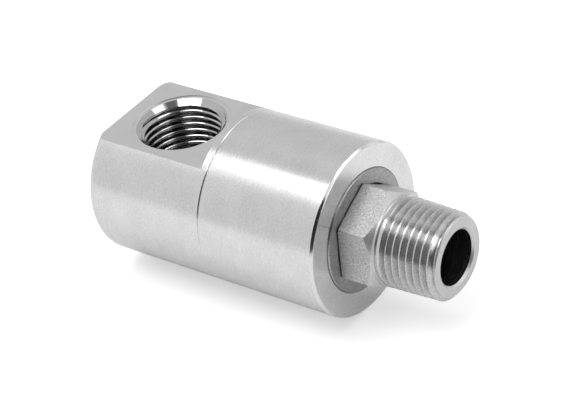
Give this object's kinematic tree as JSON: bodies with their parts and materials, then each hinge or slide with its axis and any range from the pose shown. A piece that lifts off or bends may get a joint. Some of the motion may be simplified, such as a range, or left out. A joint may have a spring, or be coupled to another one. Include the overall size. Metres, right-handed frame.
{
  "type": "hydraulic rotary union",
  "caption": "Right-angle hydraulic rotary union: a hollow hexagon rotor with a tapered male thread turns in a two-part round steel housing with a threaded side port.",
  "frame": {"origin": "centre of the rotor's threaded end face, on the axis that the rotor turns about", "axes": "+X along the rotor axis, out of the threaded end; +Z the way the side port opens"},
  "size_m": [0.0911, 0.042, 0.042],
  "materials": {
    "housing_steel": "fine turned stainless steel",
    "rotor_steel": "turned and milled stainless steel",
    "cover_steel": "fine turned stainless steel",
    "bearing_steel": "ground",
    "ball_steel": "polished",
    "cage_brass": "machined",
    "shield_steel": "pressed sheet",
    "spacer_steel": "turned",
    "spring_steel": "oiled spring steel",
    "nitrile_rubber": "matt moulded",
    "seal_plastic": "machined fluoroplastic",
    "guide_bronze": "machined bronze"
  },
  "bodies": {
    "housing": {"front_housing": "housing_steel", "rear_housing": "housing_steel", "front_cover": "cover_steel", "dust_seal": "nitrile_rubber", "front_bearing_outer_ring": "bearing_steel", "front_bearing_shields": "shield_steel", "rear_bearing_outer_ring": "bearing_steel", "rear_bearing_shields": "shield_steel", "outer_spacer": "spacer_steel", "housing_o_ring": "nitrile_rubber", "retaining_ring": "spring_steel", "backup_washer": "spacer_steel", "pressure_seal": "seal_plastic", "seal_energiser": "nitrile_rubber", "guide_ring": "guide_bronze"},
    "rotor": {"rotor": "rotor_steel", "front_bearing_inner_ring": "bearing_steel", "rear_bearing_inner_ring": "bearing_steel", "inner_spacer": "spacer_steel", "lock_washer": "shield_steel", "lock_nut": "spacer_steel"},
    "front_ball_set": {"front_bearing_balls": "ball_steel", "front_bearing_cage": "cage_brass"},
    "rear_ball_set": {"rear_bearing_balls": "ball_steel", "rear_bearing_cage": "cage_brass"}
  },
  "joints": [
    {"name": "rotor_spin", "type": "hinge", "parent": "housing", "child": "rotor", "pos_m": [0, 0, 0], "axis": [1, 0, 0], "continuous": true},
    {"name": "front_ball_orbit", "type": "hinge", "parent": "housing", "child": "front_ball_set", "pos_m": [-0.0337, 0, 0], "axis": [1, 0, 0], "continuous": true},
    {"name": "rear_ball_orbit", "type": "hinge", "parent": "housing", "child": "rear_ball_set", "pos_m": [-0.0447, 0, 0], "axis": [1, 0, 0], "continuous": true}
  ],
  "couplings": [
    {"joint": "front_ball_orbit", "follows": "rotor_spin", "ratio": 0.4327},
    {"joint": "rear_ball_orbit", "follows": "rotor_spin", "ratio": 0.4327}
  ]
}
